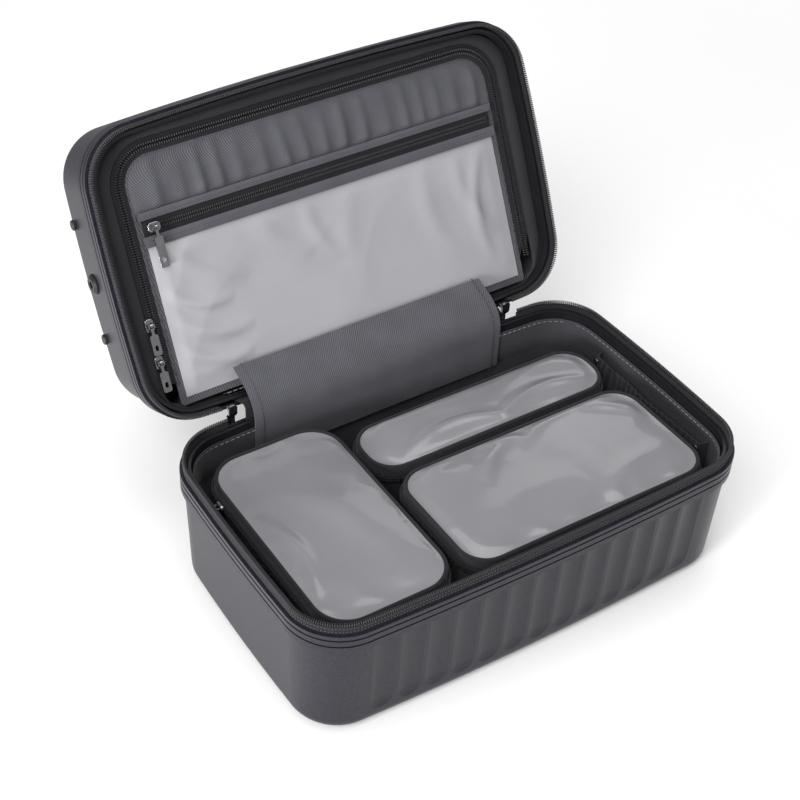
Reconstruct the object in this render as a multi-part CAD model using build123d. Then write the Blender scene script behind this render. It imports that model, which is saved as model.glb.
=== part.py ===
from build123d import *
import os
from math import cos, radians, sin

# Hard-sided vanity case, millimetres, +Z up.
# X runs along the case, left is -X. The front is -Y and the lid hinges at +Y.
# The origin is the centre of the flat bottom of the base.

# Driving dimensions
case_length = 338.0
case_width = 206.0
corner_radius = 38.0
long_side_bow = 4.5
short_side_bow = 2.8
seam_height = 102.0
base_depth = 102.0
lid_depth = 69.0
lid_open_angle = 117.0
hinge_y = 101.5

wall = 2.5
flange_step = 2.5
flange_top = 9.0
flange_bottom = 23.0
flange_groove_depth = 0.9
flange_groove_height = 1.3
flange_grooves = (-13.2, -18.4)
draft_per_mm = 2.3 / 79.0
edge_round = 9.0

tape_inset = 2.4
tape_thickness = 1.2
tape_bottom = 18.0
teeth_height = 3.0
teeth_width = 2.4
seam_gap = 0.25
rim_strip_inset = 5.5
rim_strip_thickness = 1.8
rim_strip_top = 7.0
lining_inset = 5.3
lining_thickness = 0.9

flute_pitch = 19.8
flute_count = 13
flute_width = 17.0
flute_depth = 1.3
flute_foot = 19.0

zip_end_x = 118.0
hinge_strip_half = 104.0
hinge_strip_y = 98.15
hinge_strip_thickness = 0.8
flap_half_width = 100.0
flap_thickness = 1.2

stud_spread = 80.0
strap_socket_radius = 7.0
strap_hole_radius = 2.6
strap_socket_rise = 48.0

handle_length = 128.0
handle_width = 24.0
handle_lift_gap = 5.0

divider_level = 14.0
divider_half_length = 150.0
divider_front = -87.0
divider_hinge_y = 90.0
divider_corner = 30.0
zip_row_width = 4.6
zip_row_gap = 0.5
panel_thickness = 1.6
pocket_zip_y = -31.0

pull_thickness = 1.3
pull_width = 6.0
pin_radius = 0.6
pin_clearance = 0.35
pin_height = 4.1

pouch_floor = 6.0
pouch_band_drop = 13.0
# name: left, right, front, back, top, corner radius
pouches = {
    "left": (-150.0, -56.0, -88.0, 76.0, 90.0, 24.0),
    "back": (-50.0, 140.0, 13.0, 60.0, 87.0, 20.0),
    "right": (-48.0, 140.5, -88.0, 6.0, 90.0, 20.0),
}


def outline(length, width, radius, bow_y, bow_x):
    """A rectangle with bowed sides and round corners, on the XY plane."""
    x = length / 2 - bow_x
    y = width / 2 - bow_y
    sides = [
        ThreePointArc((-x, -y), (0, -width / 2), (x, -y)),
        ThreePointArc((x, -y), (length / 2, 0), (x, y)),
        ThreePointArc((x, y), (0, width / 2), (-x, y)),
        ThreePointArc((-x, y), (-length / 2, 0), (-x, -y)),
    ]
    sheet = make_face(sides)
    return fillet(sheet.vertices(), radius)


def case_outline(inset):
    """The flange outline moved inwards by inset."""
    length = case_length - 2 * inset
    width = case_width - 2 * inset
    return outline(length, width, corner_radius - inset, long_side_bow, short_side_bow)


def band(outer_inset, inner_inset, low, high):
    """A ring that follows the case outline, from height low to high."""
    ring = case_outline(outer_inset) - case_outline(inner_inset)
    return Pos(0, 0, low) * extrude(ring, high - low)


def drafted_block(inset, low, high):
    """A solid with the draft of the mouldings, narrower as it gets deeper."""
    sections = []
    for level in (low, high):
        slope = draft_per_mm * (-flange_bottom - level)
        sections.append(Pos(0, 0, level) * case_outline(inset + slope))
    return loft(sections, ruled=True)


def wall_y(x, level):
    """Distance of the moulded long wall from the middle plane."""
    half = case_length / 2 - short_side_bow
    bow = long_side_bow * (1 - (x / half) ** 2)
    straight = case_width / 2 - long_side_bow - flange_step
    return straight + bow + draft_per_mm * (level + flange_bottom)


def flute_cutter(x, side, depth):
    """A long round-ended gouge for one shallow flute."""
    radius = ((flute_width / 2) ** 2 + flute_depth ** 2) / (2 * flute_depth)
    foot = -depth + flute_foot
    height = -flange_bottom + 1 - foot
    gouge = Cylinder(radius, height, align=(Align.CENTER, Align.CENTER, Align.MIN))
    gouge += Sphere(radius)
    tilt = Rot(-side * 1.67, 0, 0)
    y = side * (wall_y(x, foot) + radius - flute_depth)
    return Pos(x, y, foot) * tilt * gouge


def shell(depth):
    """One moulded half with its rim up, the seam plane at z = 0."""
    body = drafted_block(flange_step, -depth, -flange_bottom + 2)
    body = fillet(body.faces().sort_by(Axis.Z)[0].edges(), edge_round)
    for index in range(flute_count):
        x = (index - (flute_count - 1) / 2) * flute_pitch
        for side in (-1, 1):
            body -= flute_cutter(x, side, depth)
    body += band(0, 12, -flange_bottom, -flange_top)
    hollow = drafted_block(flange_step + wall, -depth + wall, 1)
    body -= fillet(hollow.faces().sort_by(Axis.Z)[0].edges(), edge_round - wall)
    for level in flange_grooves:
        body -= band(-1, flange_groove_depth, level, level + flange_groove_height)
    return body - band(tape_inset, wall + flange_step + 1, -tape_bottom, 0)


def hinge_opening(half):
    """A block that clears the back of the zip, where the fabric hinge runs."""
    return Pos(0, case_width / 2, 0) * Box(2 * half, 24, 60)


def zip_tape():
    return band(tape_inset, tape_inset + tape_thickness, -tape_bottom + 0.3,
                -seam_gap - teeth_height) - hinge_opening(zip_end_x)


def zip_teeth():
    middle = tape_inset + tape_thickness / 2
    row = band(middle - teeth_width / 2, middle + teeth_width / 2,
               -seam_gap - teeth_height, -seam_gap)
    row = fillet(row.edges().group_by(Axis.Z)[-1], 0.6)
    return row - hinge_opening(zip_end_x)


def rim_strip(lower):
    """The glossy binding inside the mouth, with a rounded lip and a raised bead."""
    strip = band(rim_strip_inset, rim_strip_inset + rim_strip_thickness, -lower, -rim_strip_top)
    bead = -lower + 0.35 * (lower - rim_strip_top)
    strip += band(rim_strip_inset + 1, rim_strip_inset + rim_strip_thickness + 0.8,
                  bead, bead + 2)
    return strip


def lining(depth, top):
    """Cloth lining over the walls and the floor of one half."""
    cloth = drafted_block(lining_inset, -depth + wall + 0.2, -top)
    cloth = fillet(cloth.faces().sort_by(Axis.Z)[0].edges(), edge_round - wall)
    inner = drafted_block(lining_inset + lining_thickness,
                          -depth + wall + 0.2 + lining_thickness, -top + 1)
    inner = fillet(inner.faces().sort_by(Axis.Z)[0].edges(), edge_round - wall - 1)
    return cloth - inner


def seat_base(half):
    return Pos(0, 0, seam_height) * half


def seat_lid(half):
    """Turn a half over, set it on the base and open it about the hinge line."""
    turned = mirror(half, about=Plane.XY)
    hinge = Pos(0, hinge_y, 0) * Rot(-lid_open_angle, 0, 0) * Pos(0, -hinge_y, 0)
    return Pos(0, 0, seam_height) * hinge * turned


def hinge_strip():
    """Fabric hinge between the two halves, folded round the hinge line."""
    turn = radians(lid_open_angle)
    reach = hinge_y - hinge_strip_y
    drop = tape_bottom - 2.5
    fold = (-reach, 0)
    middle = (-reach * cos(turn / 2), reach * sin(turn / 2))
    lid_fold = (-reach * cos(turn), reach * sin(turn))
    lid_end = (lid_fold[0] + drop * sin(turn), lid_fold[1] + drop * cos(turn))
    path = Line((-reach, -drop), fold) + ThreePointArc(fold, middle, lid_fold)
    path += Line(lid_fold, lid_end)
    profile = Plane.YZ * trace(path, hinge_strip_thickness)
    return Pos(-hinge_strip_half, hinge_y, seam_height) * extrude(profile, 2 * hinge_strip_half)


def hinge_flap():
    """Cover flap from the back lining over the hinge on to the lower edge of the divider."""
    path = Spline((92.0, 62.0), (92.2, 84.0), (93.8, 100.5), (103.0, 112.5), (122.0, 120.2))
    profile = Plane.YZ * trace(path, flap_thickness)
    return Pos(-flap_half_width, 0, 0) * extrude(profile, 2 * flap_half_width)


def elastic_pocket():
    """Gathered pocket on the right wall, open at the top."""
    outer = Pos(155.4, -9, 56) * Box(7.6, 112, 52)
    inner = Pos(156.2, -9, 58.6) * Box(6.2, 108, 52)
    hem = Pos(151.3, -9, 78) * Box(1.4, 112, 7)
    return outer - inner + fillet(hem.edges().filter_by(Axis.Y), 0.6)


def pocket_rivets():
    rivet = Rot(0, -90, 0) * Cylinder(2.2, 0.8)
    return [Pos(150.1, y, 78) * rivet for y in (-61.5, 43.5)]


def strap_socket(side):
    """Round eyelet for the end of a shoulder strap, with a dark hole."""
    profile = Polyline((strap_hole_radius, -1.0), (strap_hole_radius, 2.2),
                       (strap_socket_radius - 2, 2.6), (strap_socket_radius, 0.9),
                       (strap_socket_radius, 0.05), (4.4, 0.05), (4.4, -1.0), close=True)
    ring = revolve(Plane.XZ * make_face(profile), Axis.Z)
    x = case_length / 2 - flange_step - draft_per_mm * (strap_socket_rise - flange_bottom) + 0.3
    return Pos(side * x, 0, -strap_socket_rise) * Rot(0, side * 90, 0) * ring


def strap_recess(side):
    x = case_length / 2 - flange_step
    return Pos(side * x, 0, -strap_socket_rise) * Rot(0, 90, 0) * Cylinder(4.5, 14)


def corner_stud(side, y):
    """Small round bumper near the top edge of the end wall."""
    x = case_length / 2 - flange_step - draft_per_mm * (57 - flange_bottom) + 0.05
    stud = Cylinder(3.6, 2.0, align=(Align.CENTER, Align.CENTER, Align.MIN))
    stud = fillet(stud.edges().sort_by(Axis.Z)[-1], 0.9)
    return Pos(side * x, y, -57) * Rot(0, side * 90, 0) * stud


def handle_bracket(side):
    """End cap of the carry handle, screwed to the top of the lid."""
    cap = Box(24, handle_width + 6, 9, align=(Align.CENTER, Align.CENTER, Align.MIN))
    cap = fillet(cap.edges().filter_by(Axis.Z), 8)
    cap = fillet(cap.faces().sort_by(Axis.Z)[-1].edges(), 2.5)
    slot = Pos(-side * 6, 0, 1.6) * Box(24, handle_width + 0.8, 5.4,
                                        align=(Align.CENTER, Align.CENTER, Align.MIN))
    place = Pos(side * (handle_length / 2 + 6), 0, 0.05)
    return Pos(0, 0, -lid_depth) * mirror(place * (cap - slot), about=Plane.XY)


def carry_handle():
    """Flexible grip, its ends held in the brackets."""
    grip = Box(handle_length + 8, handle_width, 4.0, align=(Align.CENTER, Align.CENTER, Align.MIN))
    grip = fillet(grip.edges().filter_by(Axis.Z), 5)
    grip = fillet(grip.faces().sort_by(Axis.Z)[-1].edges(), 1.6)
    grip = Pos(0, 0, 2.0) * grip
    return Pos(0, 0, -lid_depth) * mirror(grip, about=Plane.XY)


def divider_outline(inset):
    """The divider's face: straight hinge edge at the back, round corners at the front."""
    half = divider_half_length - inset
    front = divider_front + inset
    back = divider_hinge_y
    sheet = make_face(Polyline((-half, back), (-half, front), (half, front), (half, back),
                               close=True))
    corners = sheet.vertices().group_by(Axis.Y)[0]
    sheet = fillet(corners, divider_corner - inset)
    return fillet(sheet.vertices().group_by(Axis.Y)[-1], max(2.0, 12.0 - inset))


def divider_row(outer, inner, thickness, level=-divider_level):
    row = divider_outline(outer) - divider_outline(inner)
    row -= Pos(0, divider_hinge_y, 0) * Rectangle(400, 28)
    return Pos(0, 0, level - thickness) * extrude(row, thickness)


def lid_surround():
    """Cloth band from the rim strip to the divider zip."""
    sheet = case_outline(rim_strip_inset + rim_strip_thickness + 1.0)
    sheet -= divider_outline(-0.2)
    sheet -= Pos(0, divider_hinge_y + 2) * Rectangle(2 * divider_half_length - 8, 12)
    return Pos(0, 0, -divider_level - 1.2) * extrude(sheet, 1.2)


def divider_panel():
    """The flat stiffened panel that carries the lid pockets."""
    inset = 2 * zip_row_width + zip_row_gap + 0.2
    sheet = divider_outline(inset)
    return Pos(0, 0, -divider_level - panel_thickness) * extrude(sheet, panel_thickness)


def gathered_band():
    """Cloth pocket front above the zip, crowned by its gathers."""
    low = divider_front + 2 * zip_row_width + 6
    high = pocket_zip_y - 9
    block = Pos(0, (low + high) / 2, -divider_level + 0.1) * Box(
        2 * divider_half_length - 44, high - low, 3.4, align=(Align.CENTER, Align.CENTER, Align.MIN))
    block = fillet(block.edges().filter_by(Axis.Z), 8)
    return fillet(block.faces().sort_by(Axis.Z)[-1].edges(), 1.6)


def pocket_zip():
    """Horizontal coil zip across the divider, with its two tapes."""
    tape = Pos(0, pocket_zip_y, -divider_level + 0.1) * Box(
        2 * divider_half_length - 30, 15, 1.2, align=(Align.CENTER, Align.CENTER, Align.MIN))
    chain = Pos(0, pocket_zip_y, -divider_level + 1.3) * Box(
        2 * divider_half_length - 30, 4.4, 1.3, align=(Align.CENTER, Align.CENTER, Align.MIN))
    return tape + fillet(chain.edges().filter_by(Axis.X).sort_by(Axis.Z)[-2:], 0.5)


def clear_pocket():
    """Clear vinyl pocket front, bulging a little."""
    low = pocket_zip_y + 9
    high = divider_hinge_y - 7
    block = Pos(0, (low + high) / 2, -divider_level + 0.1) * Box(
        2 * divider_half_length - 32, high - low, 2.6, align=(Align.CENTER, Align.CENTER, Align.MIN))
    block = fillet(block.edges().filter_by(Axis.Z), 6)
    return fillet(block.faces().sort_by(Axis.Z)[-1].edges(), 1.2)


def divider_hinge_binding():
    """Stitched edge binding along the hinge side of the divider."""
    bar = Pos(0, divider_hinge_y + 2.0, -divider_level - 0.8) * Box(220, 1.2, 3.4)
    return fillet(bar.edges().filter_by(Axis.X), 0.4)


def zip_slider(turn=0.0):
    """Slider body on XY, travel along Y, its lugs and cross pin turned by turn."""
    body = Box(6.4, 9.0, 2.0, align=(Align.CENTER, Align.CENTER, Align.MIN))
    body = fillet(body.edges().filter_by(Axis.Z), 2.4)
    body = fillet(body.faces().sort_by(Axis.Z)[-1].edges(), 0.6)
    lug = Box(1.0, 3.0, pin_height - 0.9, align=(Align.CENTER, Align.CENTER, Align.MIN))
    bridge = Pos(0, 0, pin_height) * Rot(0, 90, 0) * Cylinder(pin_radius, 4.0)
    for x in (-1.9, 1.9):
        bridge += Pos(x, 0, 1.9) * lug
    return body + Rot(0, 0, turn) * bridge


def zip_pull(length):
    """Flat pull tab on its pin, lying along +Y."""
    neck = Rectangle(2.0, 8.0, align=(Align.CENTER, Align.MIN))
    tab = Pos(0, 6.0) * Rectangle(pull_width, length - 6.0, align=(Align.CENTER, Align.MIN))
    tab = fillet(tab.vertices(), 1.4)
    hole = Pos(0, length - 5) * SlotCenterToCenter(1.6, 2.2, rotation=90)
    blade = extrude(neck + tab - hole, pull_thickness)
    eye = Rot(0, 90, 0) * Cylinder(pin_radius + pin_clearance + 0.75, 2.0)
    bore = Rot(0, 90, 0) * Cylinder(pin_radius + pin_clearance, 4.0)
    lift = Pos(0, 0, -pull_thickness / 2)
    return Pos(0, 0, pin_height) * (lift * blade + eye - bore)


def on_back(piece, side):
    """Stand a slider or pull on the back where the two tapes meet, the pull hanging down."""
    return Pos(side * 111.5, hinge_y + 0.2, seam_height) * Rot(-90, 0, 0) * piece


def on_divider(piece, x, y, rise):
    """Put a slider or pull on the divider plane; the pull points to the hinge side."""
    return Pos(x, y, -divider_level + rise) * piece


def pouch_block(name, grow=0.0):
    left, right, front, back, top, radius = pouches[name]
    sheet = Rectangle(right - left + 2 * grow, back - front + 2 * grow)
    sheet = fillet(sheet.vertices(), radius + grow)
    return Pos((left + right) / 2, (front + back) / 2, 0) * sheet, top


def pouch_body(name):
    """Cloth sides and floor of a removable pouch, filled."""
    sheet, top = pouch_block(name)
    body = Pos(0, 0, pouch_floor) * extrude(sheet, top - pouch_floor - 2.0)
    return fillet(body.faces().sort_by(Axis.Z)[0].edges(), 6)


def pouch_window(name):
    """Clear vinyl top of a pouch, with a rounded edge."""
    sheet, top = pouch_block(name, -0.6)
    window = Pos(0, 0, top - 1.9) * extrude(sheet, 1.9)
    return fillet(window.faces().sort_by(Axis.Z)[-1].edges(), 1.2)


def pouch_zip(name):
    """Zip band round the upper side of a pouch."""
    outer, top = pouch_block(name, 1.3)
    inner, _ = pouch_block(name, 0.1)
    return Pos(0, 0, top - pouch_band_drop) * extrude(outer - inner, 6.0)


# name: x, y, outward direction in degrees
pouch_slider_places = {
    "left": (-151.4, 46.0, 180.0),
    "back": (-22.0, 61.5, 90.0),
    "right": (141.9, -18.0, 0.0),
}


def on_pouch_side(piece, name):
    """Stand a slider on the side of a pouch, its pull hanging down."""
    x, y, facing = pouch_slider_places[name]
    top = pouches[name][4]
    upright = Rot(0, 0, facing) * Rot(0, 90, 0) * Rot(0, 0, -90)
    return Pos(x, y, top - pouch_band_drop + 3.0) * upright * piece


def write(shape, node):
    solids = shape if isinstance(shape, list) else [shape]
    whole = Compound(children=[s for piece in solids for s in piece.solids()])
    export_step(whole, f"parts/{node}.step")


os.makedirs("parts", exist_ok=True)

base_half = shell(base_depth)
write(seat_base(base_half), "base_shell")
write(seat_base(zip_tape()), "base_zip_tape")
write(seat_base(zip_teeth()), "base_zip_teeth")
write(seat_base(rim_strip(34.0)), "base_rim_strip")
write(seat_base(lining(base_depth, 34.3)), "base_lining")
write(elastic_pocket(), "elastic_pocket")
write(pocket_rivets(), "pocket_rivets")
write(hinge_strip(), "hinge_strip")
write(hinge_flap(), "hinge_flap")

lid_half = shell(lid_depth) - strap_recess(-1) - strap_recess(1)
write(seat_lid(lid_half), "lid_shell")
write(seat_lid(zip_tape()), "lid_zip_tape")
write(seat_lid(zip_teeth()), "lid_zip_teeth")
write(seat_lid(rim_strip(13.5)), "lid_rim_strip")
write(seat_lid(lining(lid_depth, 16.0)), "lid_lining")
write(seat_lid(lid_surround()), "lid_surround")
write([seat_lid(strap_socket(-1)), seat_lid(strap_socket(1))], "strap_sockets")
studs = [corner_stud(side, y) for side in (-1, 1) for y in (-stud_spread / 2, stud_spread / 2)]
write([seat_lid(stud) for stud in studs], "bumper_studs")
write([seat_lid(handle_bracket(-1)), seat_lid(handle_bracket(1))], "handle_brackets")
write(seat_lid(carry_handle()), "carry_handle")

write(seat_lid(divider_row(0, zip_row_width, 1.2)), "divider_zip_lid_row")
write(seat_lid(divider_row(zip_row_width + zip_row_gap, 2 * zip_row_width + zip_row_gap, 1.2)),
      "divider_zip_row")
write(seat_lid(divider_panel()), "divider_panel")
write(seat_lid(divider_hinge_binding()), "divider_hinge_binding")
write(seat_lid(gathered_band()), "gathered_pocket")
write(seat_lid(pocket_zip()), "pocket_zip")
write(seat_lid(clear_pocket()), "clear_pocket")

pocket_start = -129.0
write(seat_lid(on_divider(Rot(0, 0, 90) * zip_slider(-90), pocket_start, pocket_zip_y, 2.7)),
      "pocket_slider")
write(seat_lid(on_divider(zip_pull(27), pocket_start, pocket_zip_y, 2.7)), "pocket_pull")
for node, y in (("upper_divider", 30.5), ("lower_divider", 56.0)):
    write(seat_lid(on_divider(zip_slider(), -148.6, y, 0.3)), f"{node}_slider")
    write(seat_lid(on_divider(zip_pull(20), -148.6, y, 0.3)), f"{node}_pull")
for node, side in (("left", -1), ("right", 1)):
    write(on_back(zip_slider(), side), f"{node}_main_slider")
    write(on_back(zip_pull(24), side), f"{node}_main_pull")
for name in pouches:
    write(pouch_body(name), f"{name}_pouch")
    write(pouch_window(name), f"{name}_pouch_window")
    write(pouch_zip(name), f"{name}_pouch_zip")
    write(on_pouch_side(Rot(0, 0, 90) * zip_slider(-90), name), f"{name}_pouch_slider")
    write(on_pouch_side(zip_pull(20), name), f"{name}_pouch_pull")
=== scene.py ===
import bpy
from math import sin, cos, pi, radians, sqrt, atan2, hypot
from mathutils import Vector, Matrix, noise


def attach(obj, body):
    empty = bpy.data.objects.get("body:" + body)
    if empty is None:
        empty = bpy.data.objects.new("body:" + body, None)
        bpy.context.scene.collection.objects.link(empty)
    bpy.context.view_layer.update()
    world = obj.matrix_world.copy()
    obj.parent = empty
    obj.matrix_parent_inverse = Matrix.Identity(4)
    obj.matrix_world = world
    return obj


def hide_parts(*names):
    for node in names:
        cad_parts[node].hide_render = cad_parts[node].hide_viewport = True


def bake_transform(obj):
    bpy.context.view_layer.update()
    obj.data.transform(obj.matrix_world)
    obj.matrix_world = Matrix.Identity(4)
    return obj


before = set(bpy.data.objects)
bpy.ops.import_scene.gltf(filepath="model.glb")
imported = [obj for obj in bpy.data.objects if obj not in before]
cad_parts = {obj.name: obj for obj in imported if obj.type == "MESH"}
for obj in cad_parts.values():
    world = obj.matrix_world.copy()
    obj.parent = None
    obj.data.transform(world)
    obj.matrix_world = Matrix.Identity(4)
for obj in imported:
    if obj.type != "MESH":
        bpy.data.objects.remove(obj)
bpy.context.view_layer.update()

# the case, in metres
case = {
    "length": 0.338, "width": 0.206, "corner": 0.038,
    "longBow": 0.0045, "shortBow": 0.0028,
    "seamZ": 0.102, "hingeY": 0.1015, "openAngle": radians(117),
    "draft": 2.3 / 79, "flangeBottom": 0.023, "zipEndX": 0.118,
}


def basePlace(x, y, d):
    return Vector((x, y, case["seamZ"] - d))


def lidPlace(x, y, d):
    t = case["openAngle"]
    r = y - case["hingeY"]
    return Vector((x, r * cos(t) + d * sin(t) + case["hingeY"], -r * sin(t) + d * cos(t) + case["seamZ"]))


# ---------- outlines ----------

def resample(points, step, closed=True):
    pts = points + points[:1] if closed else points
    total = sum((Vector(b) - Vector(a)).length for a, b in zip(pts, pts[1:]))
    count = max(2, round(total / step))
    gap = total / count
    out, walked, target = [], 0.0, 0.0
    for a, b in zip(pts, pts[1:]):
        a, b = Vector(a), Vector(b)
        size = (b - a).length
        while size > 0 and target <= walked + size + 1e-9 and len(out) < count + (0 if closed else 1):
            out.append(a.lerp(b, (target - walked) / size))
            target += gap
        walked += size
    return out


def caseOutline(inset, step=0.003):
    # bowed sides with round corners, starting at the middle of the back, counter-clockwise
    length, width = case["length"] - 2 * inset, case["width"] - 2 * inset
    radius = case["corner"] - inset
    bx, by = case["shortBow"], case["longBow"]
    xs, ys = length / 2 - bx, width / 2 - by
    bigLong, bigShort = (xs * xs + by * by) / (2 * by), (ys * ys + bx * bx) / (2 * bx)
    longC, shortC = (0.0, width / 2 - bigLong), (length / 2 - bigShort, 0.0)
    cx, cy = xs - radius, ys - radius
    # move the corner's centre until its circle touches both bows
    for _ in range(30):
        a = hypot(cx - longC[0], cy - longC[1])
        cy += (bigLong - radius - a) * 0.9
        b = hypot(cx - shortC[0], cy - shortC[1])
        cx += (bigShort - radius - b) * 0.9
    angleLong = atan2(cy - longC[1], cx - longC[0])
    angleShort = atan2(cy - shortC[1], cx - shortC[0])
    quarter = []
    for i in range(25):
        a = pi / 2 + (angleLong - pi / 2) * i / 24
        quarter.append((longC[0] + bigLong * cos(a), longC[1] + bigLong * sin(a)))
    for i in range(1, 17):
        a = angleLong + (angleShort - angleLong) * i / 16
        quarter.append((cx + radius * cos(a), cy + radius * sin(a)))
    for i in range(1, 13):
        a = angleShort * (1 - i / 12)
        quarter.append((shortC[0] + bigShort * cos(a), shortC[1] + bigShort * sin(a)))
    right = quarter + [(x, -y) for x, y in reversed(quarter[:-1])]
    loop = right + [(-x, y) for x, y in reversed(right[1:-1])]
    return resample([(x, y, 0) for x, y in loop], step)


def roundRect(left, right, front, back, radius, step=0.004, radiusBack=None):
    rb = radius if radiusBack is None else radiusBack
    loop = []
    for cx, cy, r, start in ((right - rb, back - rb, rb, 0), (left + rb, back - rb, rb, 90),
                             (left + radius, front + radius, radius, 180),
                             (right - radius, front + radius, radius, 270)):
        for i in range(13):
            a = radians(start + 90 * i / 12)
            loop.append((cx + r * cos(a), cy + r * sin(a), 0))
    return resample(loop, step)


def byAngle(loop, count, centre=(0, 0)):
    # the same number of points on any outline, at equal angles about a centre
    out = []
    pts = [(p[0] - centre[0], p[1] - centre[1]) for p in loop]
    for i in range(count):
        a = 2 * pi * i / count
        dx, dy = cos(a), sin(a)
        best = None
        for (x1, y1), (x2, y2) in zip(pts, pts[1:] + pts[:1]):
            ex, ey = x2 - x1, y2 - y1
            den = dx * ey - dy * ex
            if abs(den) < 1e-12:
                continue
            t = (x1 * ey - y1 * ex) / den
            s = (x1 * dy - y1 * dx) / den
            if t > 0 and -1e-6 <= s <= 1 + 1e-6 and (best is None or t > best):
                best = t
        out.append((centre[0] + dx * best, centre[1] + dy * best))
    return out


# ---------- mesh makers ----------

def clearSelection():
    bpy.ops.object.select_all(action="DESELECT")


def finishPiece(obj, material, smooth):
    obj.data.materials.clear()
    obj.data.materials.append(material)
    clearSelection()
    obj.select_set(True)
    bpy.context.view_layer.objects.active = obj
    bpy.ops.object.shade_smooth_by_angle(angle=radians(smooth))
    return obj


def clothGrid(name, rows, material, closed=False, thickness=0.0, cap=None):
    # rows of points become a sheet, with a UV map in metres for the weave
    verts = [p for row in rows for p in row]
    n = len(rows[0])
    span = n if closed else n - 1
    faces, uvs = [], []
    along = [0.0]
    mid = rows[len(rows) // 2]
    for a, b in zip(mid, mid[1:] + mid[:1]):
        along.append(along[-1] + (b - a).length)
    down = [0.0]
    for r1, r2 in zip(rows, rows[1:]):
        k = n // 3
        down.append(down[-1] + (r2[k] - r1[k]).length)
    for r in range(len(rows) - 1):
        for c in range(span):
            d = (c + 1) % n
            faces.append((r * n + c, r * n + d, (r + 1) * n + d, (r + 1) * n + c))
            uvs += [(along[c], down[r]), (along[c + 1], down[r]),
                    (along[c + 1], down[r + 1]), (along[c], down[r + 1])]
    if cap is not None:
        verts.append(cap)
        last = (len(rows) - 1) * n
        for c in range(span):
            d = (c + 1) % n
            faces.append((last + c, last + d, len(verts) - 1))
            uvs += [(along[c], down[-1]), (along[c + 1], down[-1]), (along[c], down[-1] + 0.01)]
    mesh = bpy.data.meshes.new(name)
    mesh.from_pydata([tuple(v) for v in verts], [], faces)
    layer = mesh.uv_layers.new(name="cloth")
    for i, uv in enumerate(uvs):
        layer.data[i].uv = uv
    obj = bpy.data.objects.new(name, mesh)
    bpy.context.scene.collection.objects.link(obj)
    clearSelection()
    obj.select_set(True)
    bpy.context.view_layer.objects.active = obj
    if thickness:
        mod = obj.modifiers.new("thick", "SOLIDIFY")
        mod.thickness = thickness
        mod.offset = 0
        bpy.ops.object.modifier_apply(modifier=mod.name)
    bpy.ops.object.mode_set(mode="EDIT")
    bpy.ops.mesh.select_all(action="SELECT")
    bpy.ops.mesh.normals_make_consistent(inside=False)
    bpy.ops.object.mode_set(mode="OBJECT")
    return finishPiece(obj, material, 60)


def bevelledBlock(size, bevel):
    clearSelection()
    bpy.ops.mesh.primitive_cube_add(size=1)
    block = bpy.context.active_object
    block.scale = size
    bpy.ops.object.transform_apply(location=False, rotation=False, scale=True)
    bpy.ops.object.mode_set(mode="EDIT")
    bpy.ops.mesh.select_all(action="SELECT")
    bpy.ops.mesh.bevel(offset=bevel, segments=1)
    bpy.ops.object.mode_set(mode="OBJECT")
    verts = [v.co.copy() for v in block.data.vertices]
    faces = [tuple(f.vertices) for f in block.data.polygons]
    bpy.data.objects.remove(block, do_unlink=True)
    return verts, faces


def repeatBlock(name, places, size, bevel, material):
    # places: list of (centre, direction along the row, outward)
    model, modelFaces = bevelledBlock(size, bevel)
    verts, faces = [], []
    for centre, along, out in places:
        along = along.normalized()
        side = out.cross(along).normalized()
        up = along.cross(side).normalized()
        start = len(verts)
        verts += [tuple(centre + along * v.x + side * v.y + up * v.z) for v in model]
        faces += [tuple(start + i for i in f) for f in modelFaces]
    mesh = bpy.data.meshes.new(name)
    mesh.from_pydata(verts, [], faces)
    obj = bpy.data.objects.new(name, mesh)
    bpy.context.scene.collection.objects.link(obj)
    return finishPiece(obj, material, 40)


def alongPath(points, closed=False):
    # each point with its direction
    out = []
    n = len(points)
    for i, p in enumerate(points):
        a = points[(i - 1) % n] if closed or i else p
        b = points[(i + 1) % n] if closed or i < n - 1 else p
        out.append((p, (b - a).normalized()))
    return out


# ---------- materials ----------

def newMaterial(name, colour, rough, metallic=0.0, specular=0.5):
    mat = bpy.data.materials.new(name)
    mat.use_nodes = True
    nodes, links = mat.node_tree.nodes, mat.node_tree.links
    shader = nodes["Principled BSDF"]
    shader.inputs["Base Color"].default_value = (*colour, 1)
    shader.inputs["Roughness"].default_value = rough
    shader.inputs["Metallic"].default_value = metallic
    shader.inputs["Specular IOR Level"].default_value = specular
    return mat, nodes, links, shader


def mottle(nodes, links, shader, colour, vector, scale, spread):
    tex = nodes.new("ShaderNodeTexNoise")
    tex.inputs["Scale"].default_value = scale
    tex.inputs["Detail"].default_value = 4
    ramp = nodes.new("ShaderNodeValToRGB")
    ramp.color_ramp.elements[0].position = 0.3
    ramp.color_ramp.elements[1].position = 0.7
    ramp.color_ramp.elements[0].color = (*[c * (1 - spread) for c in colour], 1)
    ramp.color_ramp.elements[1].color = (*[min(1, c * (1 + spread)) for c in colour], 1)
    links.new(vector, tex.inputs["Vector"])
    links.new(tex.outputs["Fac"], ramp.inputs["Fac"])
    links.new(ramp.outputs["Color"], shader.inputs["Base Color"])
    return ramp


def bumpFrom(nodes, links, shader, height, strength, distance):
    bump = nodes.new("ShaderNodeBump")
    bump.inputs["Strength"].default_value = strength
    bump.inputs["Distance"].default_value = distance
    links.new(height, bump.inputs["Height"])
    links.new(bump.outputs["Normal"], shader.inputs["Normal"])


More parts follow.
